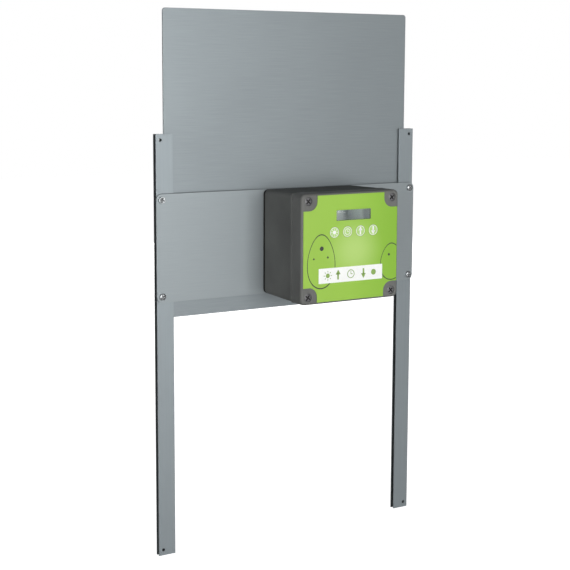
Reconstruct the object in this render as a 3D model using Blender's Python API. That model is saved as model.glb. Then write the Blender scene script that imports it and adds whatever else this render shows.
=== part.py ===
"""Automatic coop door: an aluminium shutter that a motor box lifts and lowers between two rails.

Metres, +Z up. The wall is the plane Y = 0 and the front faces -Y. X = 0 is midway between the rails,
Z = 0 is the rails' foot. The shutter is modelled raised, which leaves the doorway open.
"""

import math

import bmesh
import bpy
from mathutils import Matrix, Vector

# ---------------------------------------------------------------- driving dimensions
GAP = 0.0003  # clearance between pieces that rest on each other

RAIL_LENGTH = 0.560
RAIL_WIDTH = 0.024
RAIL_DEPTH = 0.008
RAIL_WALL = 0.0016
RAIL_CENTRE_X = 0.191
RAIL_WEB_OFFSET = 0.001  # the web sits this far outside the rail's middle
RAIL_HOLE_X = 0.1965
RAIL_HOLE_INSET = 0.0075
RAIL_HOLE_R = 0.00225

DOOR_WIDTH = 0.380
DOOR_HEIGHT = 0.400
DOOR_SHEET = 0.002
DOOR_CORNER_R = 0.004
DOOR_OUT = 0.0019  # distance from the wall to the back of the sheet
DOOR_OPEN_Z = 0.320

PLATE_WIDTH = 0.408
PLATE_HEIGHT = 0.142
PLATE_SHEET = 0.002
PLATE_CORNER_R = 0.008
PLATE_HOLE_RISE = 0.063  # the rail screws' height above and below the plate's middle

BOX_X = 0.0275
BOX_Z = 0.4125
BOX_WALL = 0.003
BASE_BACK = (0.0733, 0.0705)  # half width and half height at the back
BASE_SHOULDER = (0.0754, 0.0719)
COLLAR = (0.0763, 0.0726)
BASE_DEPTH = 0.0785
COLLAR_DEPTH = 0.0068
BOX_CORNER_R = 0.007
LID = (0.0762, 0.0724)
LID_DEPTH = 0.0236
LID_EDGE_R = 0.0035
JOINT_CHAMFER = 0.0008  # breaks the edges on both sides of the lid's joint
BACK_CHAMFER = 0.0012  # sets the tub's back edge in from the plate
LID_SCREW = (0.0655, 0.0625)  # offsets of the lid screws from the box's middle
BOX_SCREW = (0.055, 0.054)

FOIL_SHEET = 0.0005
FOIL = (0.0735, 0.0697)
FOIL_NOTCH = (0.0212, 0.0198)
FOIL_NOTCH_R = 0.012
WINDOW = (0.02685, 0.00685)
WINDOW_X = 0.0315
WINDOW_Z = 0.4549
KEY_X = 0.0320
KEY_Z = 0.433
KEY_PITCH = 0.0203
KEY_R = 0.007
KEY_NAMES = ("key_set", "key_clock", "key_up", "key_down")

CORD_X = 0.012
DRUM_X = CORD_X - 0.0063
DRUM_Z = 0.372
DRUM_OUT = 0.031
DRUM_HUB_R = 0.0098
DRUM_FLANGE_R = 0.015
DRUM_FLANGE = 0.002
DRUM_INNER_WIDTH = 0.015
SHAFT_R = 0.003
CORD_R = 0.001
CORD_COIL_R = 0.011
CORD_PITCH = 0.0023
CORD_TURNS = 5.5

CELL_R = 0.0071
CELL_LENGTH = 0.0505
CELL_PITCH = 0.0152
TRAY = (0.057, 0.064, 0.015)  # length, height and depth of the cell holder
TRAY_CENTRE = (0.0665, 0.407)

# ---------------------------------------------------------------- depths worked out from them
PLATE_BACK = RAIL_DEPTH + GAP
PLATE_FRONT = PLATE_BACK + PLATE_SHEET
BASE_REAR = PLATE_FRONT + GAP
BASE_RIM = BASE_REAR + BASE_DEPTH
BASE_FLOOR = BASE_REAR + BOX_WALL
LID_REAR = BASE_RIM + GAP
LID_FRONT = LID_REAR + LID_DEPTH
LID_INNER = LID_FRONT - BOX_WALL
FOIL_BACK = LID_FRONT + GAP
FOIL_FRONT = FOIL_BACK + FOIL_SHEET
CORD_OUT = DRUM_OUT - CORD_COIL_R
DRUM_LEFT = DRUM_X - DRUM_INNER_WIDTH / 2 - DRUM_FLANGE
DRUM_RIGHT = DRUM_X + DRUM_INNER_WIDTH / 2 + DRUM_FLANGE


# ---------------------------------------------------------------- scene and materials
def clear_scene():
    for old in list(bpy.data.objects):
        bpy.data.objects.remove(old)


def finish(name, colour, roughness, metallic=0.0, alpha=1.0):
    """A material with a Principled shader of the given colour, roughness and metallic value."""
    made = bpy.data.materials.new(name)
    made.use_nodes = True
    shader = made.node_tree.nodes["Principled BSDF"]
    shader.inputs["Base Color"].default_value = (*colour, 1.0)
    shader.inputs["Roughness"].default_value = roughness
    shader.inputs["Metallic"].default_value = metallic
    shader.inputs["Alpha"].default_value = alpha
    made.diffuse_color = (*colour, alpha)
    return made


clear_scene()
ALUMINIUM = (0.56, 0.59, 0.60)
STEEL = (0.70, 0.71, 0.72)
ANTHRACITE = (0.075, 0.077, 0.078)
BRAID = (0.12, 0.12, 0.13)

wall_frame = bpy.data.objects.new("wall_frame", None)
wall_frame.rotation_euler = (math.radians(90), 0, 0)
bpy.context.collection.objects.link(wall_frame)
# Children of wall_frame are placed by (x, height, distance out from the wall).

FACING_OUT = (0, 0, 0)
FACING_WALL = (0, math.pi, 0)
FACING_RIGHT = (0, math.pi / 2, 0)
FACING_LEFT = (0, -math.pi / 2, 0)
FACING_UP = (-math.pi / 2, 0, 0)


# ---------------------------------------------------------------- shapes
def rounded_rectangle(half_x, half_y, radius, steps=5, centre=(0, 0)):
    """Outline of a rectangle with arcs at its corners, anticlockwise from the lower right arc."""
    points = []
    for sx, sy, start in ((1, -1, -90), (1, 1, 0), (-1, 1, 90), (-1, -1, 180)):
        cx = centre[0] + sx * (half_x - radius)
        cy = centre[1] + sy * (half_y - radius)
        for i in range(steps + 1):
            a = math.radians(start + 90 * i / steps)
            points.append((cx + radius * math.cos(a), cy + radius * math.sin(a)))
    return points


def add_prism(bm, outline, low, high):
    """Adds a flat outline in local XY, extruded from height low to height high."""
    face = bm.faces.new([bm.verts.new((x, y, low)) for x, y in outline])
    grown = bmesh.ops.extrude_face_region(bm, geom=[face])
    moved = [v for v in grown["geom"] if isinstance(v, bmesh.types.BMVert)]
    bmesh.ops.translate(bm, vec=(0, 0, high - low), verts=moved)


def add_block(bm, low, high):
    outline = [(low[0], low[1]), (high[0], low[1]), (high[0], high[1]), (low[0], high[1])]
    add_prism(bm, outline, low[2], high[2])


def add_turned(bm, profile, segments, centre=(0, 0)):
    """Adds a profile of (radius, height) pairs turned a full circle about the local Z axis."""
    verts = [bm.verts.new((centre[0] + r, centre[1], h)) for r, h in profile]
    edges = [bm.edges.new(pair) for pair in zip(verts, verts[1:])]
    if profile[0][0] > 0:
        edges.append(bm.edges.new((verts[-1], verts[0])))
    bmesh.ops.spin(
        bm, geom=verts + edges, axis=(0, 0, 1), cent=(centre[0], centre[1], 0), angle=2 * math.pi,
        steps=segments, use_merge=True,
    )


def add_rod(bm, radius, low, high, segments=24, centre=(0, 0)):
    add_turned(bm, [(0, low), (radius, low), (radius, high), (0, high)], segments, centre)


def add_cross(bm, reach, width, low, high):
    """Adds a plus-shaped prism, the cutter of a cross recess."""
    half = width / 2
    outline = []
    for quarter in range(4):
        turn = Matrix.Rotation(math.radians(90 * quarter), 2)
        for corner in ((half, -reach), (half, -half), (reach, -half)):
            outline.append(tuple(turn @ Vector(corner)))
    add_prism(bm, outline, low, high)


def add_band(bm, ring, following):
    """Adds the faces between two closed rings of the same number of vertices."""
    for i in range(len(ring)):
        bm.faces.new((ring[i - 1], ring[i], following[i], following[i - 1]))


def add_loft(bm, stations):
    """Adds a body through stations of (outline, height), closed at both ends."""
    rings = [[bm.verts.new((x, y, h)) for x, y in outline] for outline, h in stations]
    for lower, upper in zip(rings, rings[1:]):
        add_band(bm, lower, upper)
    bm.faces.new(rings[0])
    bm.faces.new(rings[-1])


def tidy(bm):
    bmesh.ops.remove_doubles(bm, verts=bm.verts, dist=1e-6)
    bmesh.ops.recalc_face_normals(bm, faces=bm.faces)


def piece(name, bm, made_of, place=(0, 0, 0), facing=FACING_OUT, parent=wall_frame):
    """Turns a bmesh into a named sub-part, placed in the wall frame unless told otherwise."""
    tidy(bm)
    mesh = bpy.data.meshes.new(name)
    bm.to_mesh(mesh)
    bm.free()
    mesh.shade_smooth()
    mesh.set_sharp_from_angle(angle=math.radians(35))
    mesh.materials.append(made_of)
    made = bpy.data.objects.new(name, mesh)
    made.location = place
    made.rotation_euler = facing
    made.parent = parent
    bpy.context.collection.objects.link(made)
    return made


def tool(target, bm, operation):
    """A hidden body that a Boolean takes from, or adds to, the target, in the target's own frame."""
    tidy(bm)
    name = f"{target.name}.{operation.lower()}{len(target.modifiers)}"
    mesh = bpy.data.meshes.new(name)
    bm.to_mesh(mesh)
    bm.free()
    body = bpy.data.objects.new(name, mesh)
    body.parent = target
    body.hide_render = True
    body.display_type = "WIRE"
    bpy.context.collection.objects.link(body)
    step = target.modifiers.new(operation.title(), "BOOLEAN")
    step.operation = operation
    step.solver = "EXACT"
    step.object = body


def cut(target, bm):
    tool(target, bm, "DIFFERENCE")


def join(target, bm):
    tool(target, bm, "UNION")


def corners(offset, centre=(0, 0)):
    """The four corner points at plus and minus the offset, from the upper left, row by row."""
    ox, oy = offset
    return [(centre[0] + sx * ox, centre[1] + sy * oy) for sy in (1, -1) for sx in (-1, 1)]


# ---------------------------------------------------------------- rails
def rail(name, side):
    """Extruded H profile: the inner groove guides the shutter, the outer one takes the square nuts."""
    half, wall, depth = RAIL_WIDTH / 2, RAIL_WALL, RAIL_DEPTH
    web = (RAIL_WEB_OFFSET - wall / 2, RAIL_WEB_OFFSET + wall / 2)
    outline = [
        (-half, 0), (half, 0), (half, -wall), (web[1], -wall),
        (web[1], wall - depth), (half, wall - depth), (half, -depth), (-half, -depth),
        (-half, wall - depth), (web[0], wall - depth), (web[0], -wall), (-half, -wall),
    ]
    bm = bmesh.new()
    add_prism(bm, [(side * x, y) for x, y in outline], 0, RAIL_LENGTH)
    made = piece(name, bm, finish(name, ALUMINIUM, 0.42, 1.0), (side * RAIL_CENTRE_X, 0, 0), parent=None)

    hole_x = side * (RAIL_HOLE_X - RAIL_CENTRE_X)
    bm = bmesh.new()
    for height in (RAIL_HOLE_INSET, RAIL_LENGTH - RAIL_HOLE_INSET):
        add_rod(bm, RAIL_HOLE_R, -0.002, depth + 0.002, 16, (hole_x, height))
    for height in (BOX_Z - PLATE_HOLE_RISE, BOX_Z + PLATE_HOLE_RISE):
        add_rod(bm, RAIL_HOLE_R, depth / 2, depth + 0.002, 16, (hole_x, height))
    bmesh.ops.rotate(bm, cent=(0, 0, 0), matrix=Matrix.Rotation(math.radians(90), 3, "X"), verts=bm.verts)
    cut(made, bm)


rail("rail_left", -1)
rail("rail_right", 1)

# ---------------------------------------------------------------- shutter
RIVET_X = 0.0046
RIVET_RISE = 0.0095
RIVET_R = 0.0016
RIVET_HEAD_R = 0.0029
ANCHOR_WIDTH = 0.016
ANCHOR_SHEET = 0.0015
ANCHOR_LOW = 0.0045
ANCHOR_TOP = 0.018
ANCHOR_REACH = 0.026
KNOT_R = 0.003


def door_panel():
    """Two-millimetre sheet with rounded corners and two rivet holes near its lower edge."""
    bm = bmesh.new()
    outline = rounded_rectangle(DOOR_WIDTH / 2, DOOR_HEIGHT / 2, DOOR_CORNER_R, 4, (0, DOOR_HEIGHT / 2))
    add_prism(bm, outline, DOOR_OUT, DOOR_OUT + DOOR_SHEET)
    made = piece("door_panel", bm, finish("door_panel", ALUMINIUM, 0.38, 1.0), (0, DOOR_OPEN_Z, 0))
    bm = bmesh.new()
    for x in (CORD_X - RIVET_X, CORD_X + RIVET_X):
        add_rod(bm, RIVET_R + GAP, 0, 0.01, 16, (x, RIVET_RISE))
    cut(made, bm)
    return made


def cord_anchor(door):
    """Bent steel angle riveted to the shutter; the cord passes its shelf and is knotted below it."""
    back = DOOR_OUT + DOOR_SHEET + GAP
    sheet = ANCHOR_SHEET
    side = [(back, ANCHOR_LOW), (back + sheet, ANCHOR_LOW), (back + sheet, ANCHOR_TOP - sheet),
            (ANCHOR_REACH, ANCHOR_TOP - sheet), (ANCHOR_REACH, ANCHOR_TOP), (back, ANCHOR_TOP)]
    bm = bmesh.new()
    add_prism(bm, side, -ANCHOR_WIDTH / 2, ANCHOR_WIDTH / 2)
    turn = Matrix(((0, 0, 1), (0, 1, 0), (1, 0, 0)))
    bmesh.ops.transform(bm, matrix=turn.to_4x4(), verts=bm.verts)
    made = piece("cord_anchor", bm, finish("cord_anchor", STEEL, 0.35, 1.0), (CORD_X, 0, 0), parent=door)
    bm = bmesh.new()
    for x in (-RIVET_X, RIVET_X):
        add_rod(bm, RIVET_R + GAP, back - 0.002, back + 0.004, 16, (x, RIVET_RISE))
    cut(made, bm)
    bm = bmesh.new()
    add_rod(bm, CORD_R + 0.0007, -0.003, 0.003, 16)
    bmesh.ops.rotate(bm, cent=(0, 0, 0), matrix=Matrix.Rotation(math.radians(90), 3, "X"), verts=bm.verts)
    bmesh.ops.translate(bm, vec=(0, ANCHOR_TOP, CORD_OUT), verts=bm.verts)
    cut(made, bm)


def anchor_rivets(door):
    """Dome-headed blind rivets through the angle and the sheet."""
    tail, front = DOOR_OUT - GAP, DOOR_OUT + DOOR_SHEET + ANCHOR_SHEET + 2 * GAP
    head = RIVET_HEAD_R
    profile = [
        (0, tail - 0.0011), (0.0022, tail - 0.0011), (0.0026, tail), (RIVET_R, tail), (RIVET_R, front),
        (head, front), (head * 0.88, front + 0.0008), (head * 0.45, front + 0.0013), (0, front + 0.0013),
    ]
    for number, x in enumerate((-RIVET_X, RIVET_X), 1):
        name = f"anchor_rivet_{number}"
        bm = bmesh.new()
        add_turned(bm, profile, 16)
        piece(name, bm, finish(name, STEEL, 0.3, 1.0), (CORD_X + x, RIVET_RISE, 0), parent=door)


def cord_knot(door):
    """The stopper knot below the angle's shelf."""
    bm = bmesh.new()
    arc = [(KNOT_R * math.sin(math.pi * i / 8), -KNOT_R * math.cos(math.pi * i / 8)) for i in range(9)]
    add_turned(bm, [(0, -KNOT_R), *arc[1:-1], (0, KNOT_R)], 16)
    height = ANCHOR_TOP - ANCHOR_SHEET - 0.0005 - KNOT_R
    braid = finish("cord_knot", BRAID, 0.85)
    piece("cord_knot", bm, braid, (CORD_X, height, CORD_OUT), FACING_UP, door)
    return height + KNOT_R


shutter = door_panel()
cord_anchor(shutter)
anchor_rivets(shutter)
KNOT_TOP_Z = DOOR_OPEN_Z + cord_knot(shutter)


# ---------------------------------------------------------------- mounting plate and its fasteners
def mounting_plate():
    """Sheet that ties the rails together and carries the box; the box screws are sunk into its back."""
    bm = bmesh.new()
    outline = rounded_rectangle(PLATE_WIDTH / 2, PLATE_HEIGHT / 2, PLATE_CORNER_R)
    add_prism(bm, outline, PLATE_BACK, PLATE_FRONT)
    made = piece("mounting_plate", bm, finish("mounting_plate", ALUMINIUM, 0.40, 1.0), (0, BOX_Z, 0))
    bm = bmesh.new()
    for x, y in corners((RAIL_HOLE_X, PLATE_HOLE_RISE)):
        add_rod(bm, RAIL_HOLE_R, PLATE_BACK - 0.002, PLATE_FRONT + 0.002, 16, (x, y))
    for x, y in corners(BOX_SCREW, (BOX_X, 0)):
        sunk = [(0, PLATE_BACK - 0.002), (0.0062, PLATE_BACK - 0.002), (0.0024, PLATE_BACK + 0.0018),
                (0.0024, PLATE_FRONT + 0.002), (0, PLATE_FRONT + 0.002)]
        add_turned(bm, sunk, 16, (x, y))
    cut(made, bm)


def screw(name, profile, segments, recess, colour, place, facing):
    """A turned screw, head at the top of the profile, with a cross recess (reach, width, depth)."""
    bm = bmesh.new()
    add_turned(bm, profile, segments)
    metallic = 1.0 if colour == STEEL else 0.0
    made = piece(name, bm, finish(name, colour, 0.3, metallic), place, facing)
    top = profile[-1][1]
    reach, width, depth = recess
    bm = bmesh.new()
    add_cross(bm, reach, width, top - depth, top + 0.001)
    cut(made, bm)


def pan_screw(name, head_r, head_height, shank_r, shank, place, facing=FACING_OUT, colour=STEEL,
              segments=16):
    """Pan-head screw; its origin is the underside of the head."""
    profile = [
        (0, -shank), (shank_r * 0.7, -shank), (shank_r, 0.0006 - shank), (shank_r, 0), (head_r, 0),
        (head_r, head_height * 0.45), (head_r * 0.86, head_height * 0.82), (head_r * 0.55, head_height),
        (0, head_height),
    ]
    recess = (head_r * 0.52, head_r * 0.2, head_height * 0.6)
    screw(name, profile, segments, recess, colour, place, facing)


def plate_fasteners():
    """Pan-head screws through plate and flange into square nuts that lie in the rails' outer grooves."""
    for number, (x, y) in enumerate(corners((RAIL_HOLE_X, PLATE_HOLE_RISE), (0, BOX_Z)), 1):
        place = (x, y, PLATE_FRONT + GAP)
        pan_screw(f"plate_screw_{number}", 0.0045, 0.0028, 0.0019, 0.0078, place, segments=24)
        name = f"rail_nut_{number}"
        bm = bmesh.new()
        add_block(bm, (-0.0034, -0.0034, -0.0031), (0.0034, 0.0034, 0))
        made = piece(name, bm, finish(name, STEEL, 0.35, 1.0), (x, y, RAIL_DEPTH - RAIL_WALL - GAP))
        bm = bmesh.new()
        add_rod(bm, 0.0022, -0.005, 0.002, 16)
        cut(made, bm)


mounting_plate()
plate_fasteners()

# ---------------------------------------------------------------- box base
PILLAR_R = 0.0045
PILLAR_HOLE_START = 0.070
BOSS_R = 0.004
BOSS_TOP = 0.024
THREAD_HOLE_R = 0.0022
SMALL_THREAD_HOLE_R = 0.0017
GUIDE_HOLE_R = 0.0043
BRACKET_SCREW_X = DRUM_X
BRACKET_SCREWS_Z = (0.3505, 0.4025)
SEAL_INSET = 0.00135
SEAL_GROOVE = (0.0017, 0.0016)  # width and depth


def shrink(size, by):
    return size[0] - by, size[1] - by


def box_outline(size, radius=BOX_CORNER_R, steps=4):
    return rounded_rectangle(size[0], size[1], radius, steps)


def box_base():
    """Deep moulded tub with draft, a collar round its rim, screw pillars and a groove for the seal."""
    shoulder = BASE_RIM - COLLAR_DEPTH
    bm = bmesh.new()
    add_loft(bm, [
        (box_outline(shrink(BASE_BACK, BACK_CHAMFER), 0.006 - BACK_CHAMFER), BASE_REAR),
        (box_outline(BASE_BACK, 0.006), BASE_REAR + BACK_CHAMFER),
        (box_outline(BASE_SHOULDER), shoulder), (box_outline(COLLAR), shoulder + 0.0009),
        (box_outline(COLLAR), BASE_RIM - JOINT_CHAMFER),
        (box_outline(shrink(COLLAR, JOINT_CHAMFER), BOX_CORNER_R - JOINT_CHAMFER), BASE_RIM),
    ])
    made = piece("box_base", bm, finish("box_base", ANTHRACITE, 0.55), (BOX_X, BOX_Z, 0))

    bm = bmesh.new()
    inner_rim = shrink(BASE_SHOULDER, BOX_WALL)
    add_loft(bm, [
        (box_outline(shrink(BASE_BACK, BOX_WALL), 0.004), BASE_FLOOR),
        (box_outline(inner_rim, 0.005), BASE_RIM + 0.001),
    ])
    cut(made, bm)

    bm = bmesh.new()
    for x, y in corners(LID_SCREW):
        add_rod(bm, PILLAR_R, BASE_FLOOR - 0.001, BASE_RIM - 0.0006, 16, (x, y))
    for x, y in corners(BOX_SCREW):
        add_rod(bm, BOSS_R, BASE_FLOOR - 0.001, BOSS_TOP, 16, (x, y))
    join(made, bm)

    bm = bmesh.new()
    for x, y in corners(LID_SCREW):
        add_rod(bm, THREAD_HOLE_R, PILLAR_HOLE_START, BASE_RIM + 0.001, 12, (x, y))
    for x, y in corners(BOX_SCREW):
        add_rod(bm, THREAD_HOLE_R, BASE_REAR - 0.001, BOSS_TOP - 0.002, 12, (x, y))
    for z in BRACKET_SCREWS_Z:
        place = (BRACKET_SCREW_X - BOX_X, z - BOX_Z)
        add_rod(bm, SMALL_THREAD_HOLE_R, BASE_REAR + 0.0008, BASE_FLOOR + 0.001, 12, place)
    cut(made, bm)

    bm = bmesh.new()
    add_rod(bm, GUIDE_HOLE_R, -0.006, 0.006, 20)
    bmesh.ops.rotate(bm, cent=(0, 0, 0), matrix=Matrix.Rotation(math.radians(90), 3, "X"), verts=bm.verts)
    bmesh.ops.translate(bm, vec=(CORD_X - BOX_X, -BASE_BACK[1] + 0.0015, CORD_OUT), verts=bm.verts)
    cut(made, bm)

    groove_width, groove_depth = SEAL_GROOVE
    cut(made, seal_loop(SEAL_INSET, groove_width, BASE_RIM - groove_depth, BASE_RIM + 0.001))


def seal_loop(inset, width, low, high):
    """A closed band that follows the box's rim at the given inset."""
    outer = box_outline(shrink(COLLAR, inset), BOX_CORNER_R - inset)
    inner = box_outline(shrink(COLLAR, inset + width), BOX_CORNER_R - inset - width)
    bm = bmesh.new()
    rings = [[bm.verts.new((x, y, h)) for x, y in outline]
             for outline, h in ((outer, low), (outer, high), (inner, high), (inner, low))]
    for ring, following in zip(rings, rings[1:] + rings[:1]):
        add_band(bm, ring, following)
    return bm


def lid_seal():
    """Rubber cord that lies in the rim's groove."""
    width = SEAL_GROOVE[0] - 2 * 0.0002
    bm = seal_loop(SEAL_INSET + 0.0002, width, BASE_RIM - SEAL_GROOVE[1] + GAP, BASE_RIM)
    piece("lid_seal", bm, finish("lid_seal", (0.02, 0.02, 0.02), 0.8), (BOX_X, BOX_Z, 0))


def box_screws():
    """Countersunk screws that hold the base from behind the plate."""
    profile = [(0, -0.0124), (0.0012, -0.0124), (0.0019, -0.0116), (0.0019, -0.0018), (0.0038, 0), (0, 0)]
    for number, (x, y) in enumerate(corners(BOX_SCREW, (BOX_X, BOX_Z)), 1):
        name = f"box_screw_{number}"
        screw(name, profile, 16, (0.0022, 0.0008, 0.0012), STEEL, (x, y, PLATE_BACK + 0.0001), FACING_WALL)


box_base()
lid_seal()
box_screws()

# ---------------------------------------------------------------- lid
LID_HEAD_R = 0.0052
LID_HEAD_POCKET_R = 0.0056
LID_HEAD_POCKET = 0.0033
LID_COLUMN_R = 0.0068
LID_SCREW_HOLE_R = 0.0023
KEY_WELL = 0.0006
KEY_STEM_R = 0.003
BOARD = (0.050, 0.025)  # half length and half height
BOARD_CENTRE = (0.034, 0.445)
BOARD_BACK = 0.1014
BOARD_FRONT = 0.1030
BOARD_POST = (0.046, 0.021)
BOARD_POST_R = 0.003


def key_centres():
    """Key middles in the wall frame, left to right."""
    return [(KEY_X + (i - 1.5) * KEY_PITCH, KEY_Z) for i in range(4)]


def add_stepped_cutter(bm, rear, hole_r, step, pocket_r, segments, place):
    """Adds the cutter of a hole that widens to a pocket at the lid's front."""
    past = 0.001
    profile = [(0, rear - past), (hole_r, rear - past), (hole_r, step), (pocket_r, step),
               (pocket_r, LID_FRONT + past), (0, LID_FRONT + past)]
    add_turned(bm, profile, segments, place)


def box_lid():
    """Shallow moulded lid with screw columns, board posts, a display opening and four key wells."""
    bm = bmesh.new()
    rear = box_outline(shrink(LID, JOINT_CHAMFER), BOX_CORNER_R - JOINT_CHAMFER)
    stations = [(rear, LID_REAR), (box_outline(LID), LID_REAR + JOINT_CHAMFER)]
    for i in range(4):
        a = math.radians(30 * i)
        inset = LID_EDGE_R * (1 - math.cos(a))
        height = LID_FRONT - LID_EDGE_R * (1 - math.sin(a))
        stations.append((box_outline(shrink(LID, inset), BOX_CORNER_R - inset), height))
    add_loft(bm, stations)
    made = piece("box_lid", bm, finish("box_lid", ANTHRACITE, 0.5), (BOX_X, BOX_Z, 0))

    bm = bmesh.new()
    add_loft(bm, [(box_outline(shrink(LID, BOX_WALL), 0.0045), LID_REAR - 0.001),
                  (box_outline(shrink(LID, BOX_WALL), 0.0045), LID_INNER)])
    cut(made, bm)

    bm = bmesh.new()
    for x, y in corners(LID_SCREW):
        add_rod(bm, LID_COLUMN_R, LID_REAR + 0.0006, LID_INNER + 0.001, 20, (x, y))
    join(made, bm)
    bm = bmesh.new()
    for x, y in corners(BOARD_POST, (BOARD_CENTRE[0] - BOX_X, BOARD_CENTRE[1] - BOX_Z)):
        add_rod(bm, BOARD_POST_R, BOARD_FRONT + GAP, LID_INNER + 0.001, 12, (x, y))
    join(made, bm)

    bm = bmesh.new()
    pocket = LID_FRONT - LID_HEAD_POCKET
    for x, y in corners(LID_SCREW):
        add_stepped_cutter(bm, LID_REAR, LID_SCREW_HOLE_R, pocket, LID_HEAD_POCKET_R, 20, (x, y))
    well = LID_FRONT - KEY_WELL
    for x, z in key_centres():
        place = (x - BOX_X, z - BOX_Z)
        add_stepped_cutter(bm, LID_INNER, KEY_STEM_R + 0.0004, well, KEY_R + 0.0006, 28, place)
    for x, y in diagonal_posts():
        add_rod(bm, 0.0013, BOARD_FRONT - 0.001, LID_INNER - 0.001, 10, (x - BOX_X, y - BOX_Z))
    cut(made, bm)

    cut(made, window_cutter(LID_INNER, LID_FRONT))


def window_cutter(low, high):
    """The cutter of the display opening through a sheet between two depths."""
    past = 0.001
    x, z = WINDOW_X - BOX_X, WINDOW_Z - BOX_Z
    half_x, half_z = WINDOW
    bm = bmesh.new()
    add_block(bm, (x - half_x, z - half_z, low - past), (x + half_x, z + half_z, high + past))
    return bm


def diagonal_posts():
    """The upper left and lower right board posts, which take the board's two screws."""
    posts = corners(BOARD_POST, BOARD_CENTRE)
    return [posts[0], posts[3]]


def lid_screws():
    """Large-headed plastic screws that pull the lid onto the base."""
    head = LID_HEAD_POCKET - GAP - 0.0003
    grey = (0.09, 0.09, 0.095)
    for number, (x, y) in enumerate(corners(LID_SCREW, (BOX_X, BOX_Z)), 1):
        place = (x, y, LID_FRONT - LID_HEAD_POCKET + GAP)
        pan_screw(f"lid_screw_{number}", LID_HEAD_R, head, 0.0019, 0.036, place, colour=grey, segments=20)


def keypad_foil():
    """Printed front foil, notched round the lid screws, with openings for the window and the keys."""
    hx, hy = FOIL
    nx, ny = FOIL_NOTCH
    outline = []
    for sx, sy in ((1, -1), (1, 1), (-1, 1), (-1, -1)):
        inner = (sx * (hx - nx), sy * (hy - ny))
        arc = []
        for i in range(7):
            a = math.radians(15 * i)
            in_x, in_y = FOIL_NOTCH_R * (1 - math.cos(a)), FOIL_NOTCH_R * (1 - math.sin(a))
            arc.append((inner[0] + sx * in_x, inner[1] + sy * in_y))
        corner = [(inner[0], sy * hy), *arc, (sx * hx, inner[1])]
        outline += corner if sx * sy < 0 else corner[::-1]
    bm = bmesh.new()
    add_prism(bm, outline, FOIL_BACK, FOIL_FRONT)
    made = piece("keypad_foil", bm, finish("keypad_foil", (0.34, 0.60, 0.10), 0.4), (BOX_X, BOX_Z, 0))
    bm = bmesh.new()
    for x, z in key_centres():
        add_rod(bm, KEY_R + GAP, FOIL_BACK - 0.001, FOIL_FRONT + 0.001, 28, (x - BOX_X, z - BOX_Z))
    cut(made, bm)
    cut(made, window_cutter(FOIL_BACK, FOIL_FRONT))


def keys():
    """Four push keys: a round cap level with the foil on a stem that enters the switch behind it."""
    tip = 0.1061
    shoulder = 0.1074
    profile = [
        (0, tip), (0.0016, tip), (0.0016, shoulder), (KEY_STEM_R, shoulder),
        (KEY_STEM_R, FOIL_BACK), (KEY_R, FOIL_BACK), (KEY_R, FOIL_FRONT), (0, FOIL_FRONT),
    ]
    for name, (x, z) in zip(KEY_NAMES, key_centres()):
        bm = bmesh.new()
        add_turned(bm, [(r, h - FOIL_FRONT) for r, h in profile], 28)
        piece(name, bm, finish(name, (0.72, 0.82, 0.55), 0.45), (x, z, FOIL_FRONT))


def display():
    """Clear window in the foil's opening and the display module behind it."""
    clear = (WINDOW[0] - GAP, WINDOW[1] - GAP)
    bm = bmesh.new()
    add_prism(bm, rounded_rectangle(*clear, 0.0005, 2), -0.0032, 0)
    pane = finish("display_window", (0.55, 0.60, 0.62), 0.08, alpha=0.4)
    piece("display_window", bm, pane, (WINDOW_X, WINDOW_Z, FOIL_FRONT - 0.0001))
    bm = bmesh.new()
    add_block(bm, (-0.029, -0.0095, BOARD_FRONT + GAP), (0.029, 0.0095, LID_INNER - 0.0005))
    glass = finish("display_module", (0.30, 0.34, 0.33), 0.25)
    made = piece("display_module", bm, glass, (WINDOW_X, WINDOW_Z, 0))
    bm = bmesh.new()
    add_block(bm, (-0.026, -0.006, LID_INNER - 0.0012), (0.026, 0.006, LID_INNER + 0.001))
    cut(made, bm)


def circuit_board():
    """Board behind the lid with the four key switches soldered on, screwed to two of the lid's posts."""
    cx, cz = BOARD_CENTRE
    bm = bmesh.new()
    add_prism(bm, rounded_rectangle(*BOARD, 0.002, 3), BOARD_BACK, BOARD_FRONT)
    made = piece("circuit_board", bm, finish("circuit_board", (0.03, 0.16, 0.06), 0.45), (cx, cz, 0))
    bm = bmesh.new()
    for x, z in key_centres():
        dx, dz = x - cx, z - cz
        add_block(bm, (dx - 0.003, dz - 0.003, BOARD_FRONT - 0.0005), (dx + 0.003, dz + 0.003, 0.1066))
    join(made, bm)
    bm = bmesh.new()
    add_block(bm, (-0.042, 0.002, BOARD_BACK - 0.0022), (-0.030, 0.014, BOARD_BACK + 0.0005))
    add_block(bm, (0.012, -0.016, BOARD_BACK - 0.006), (0.036, -0.008, BOARD_BACK + 0.0005))
    join(made, bm)
    bm = bmesh.new()
    for x, z in key_centres():
        add_rod(bm, 0.0020, 0.1051, 0.1080, 12, (x - cx, z - cz))
    for x, y in diagonal_posts():
        add_rod(bm, 0.0014, BOARD_BACK - 0.001, BOARD_FRONT + 0.001, 10, (x - cx, y - cz))
    cut(made, bm)
    for number, (x, y) in enumerate(diagonal_posts(), 1):
        place = (x, y, BOARD_BACK - GAP)
        pan_screw(f"board_screw_{number}", 0.0025, 0.0016, 0.0011, 0.0060, place, FACING_WALL, segments=12)


box_lid()
lid_screws()
keypad_foil()
keys()
display()
circuit_board()


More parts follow.
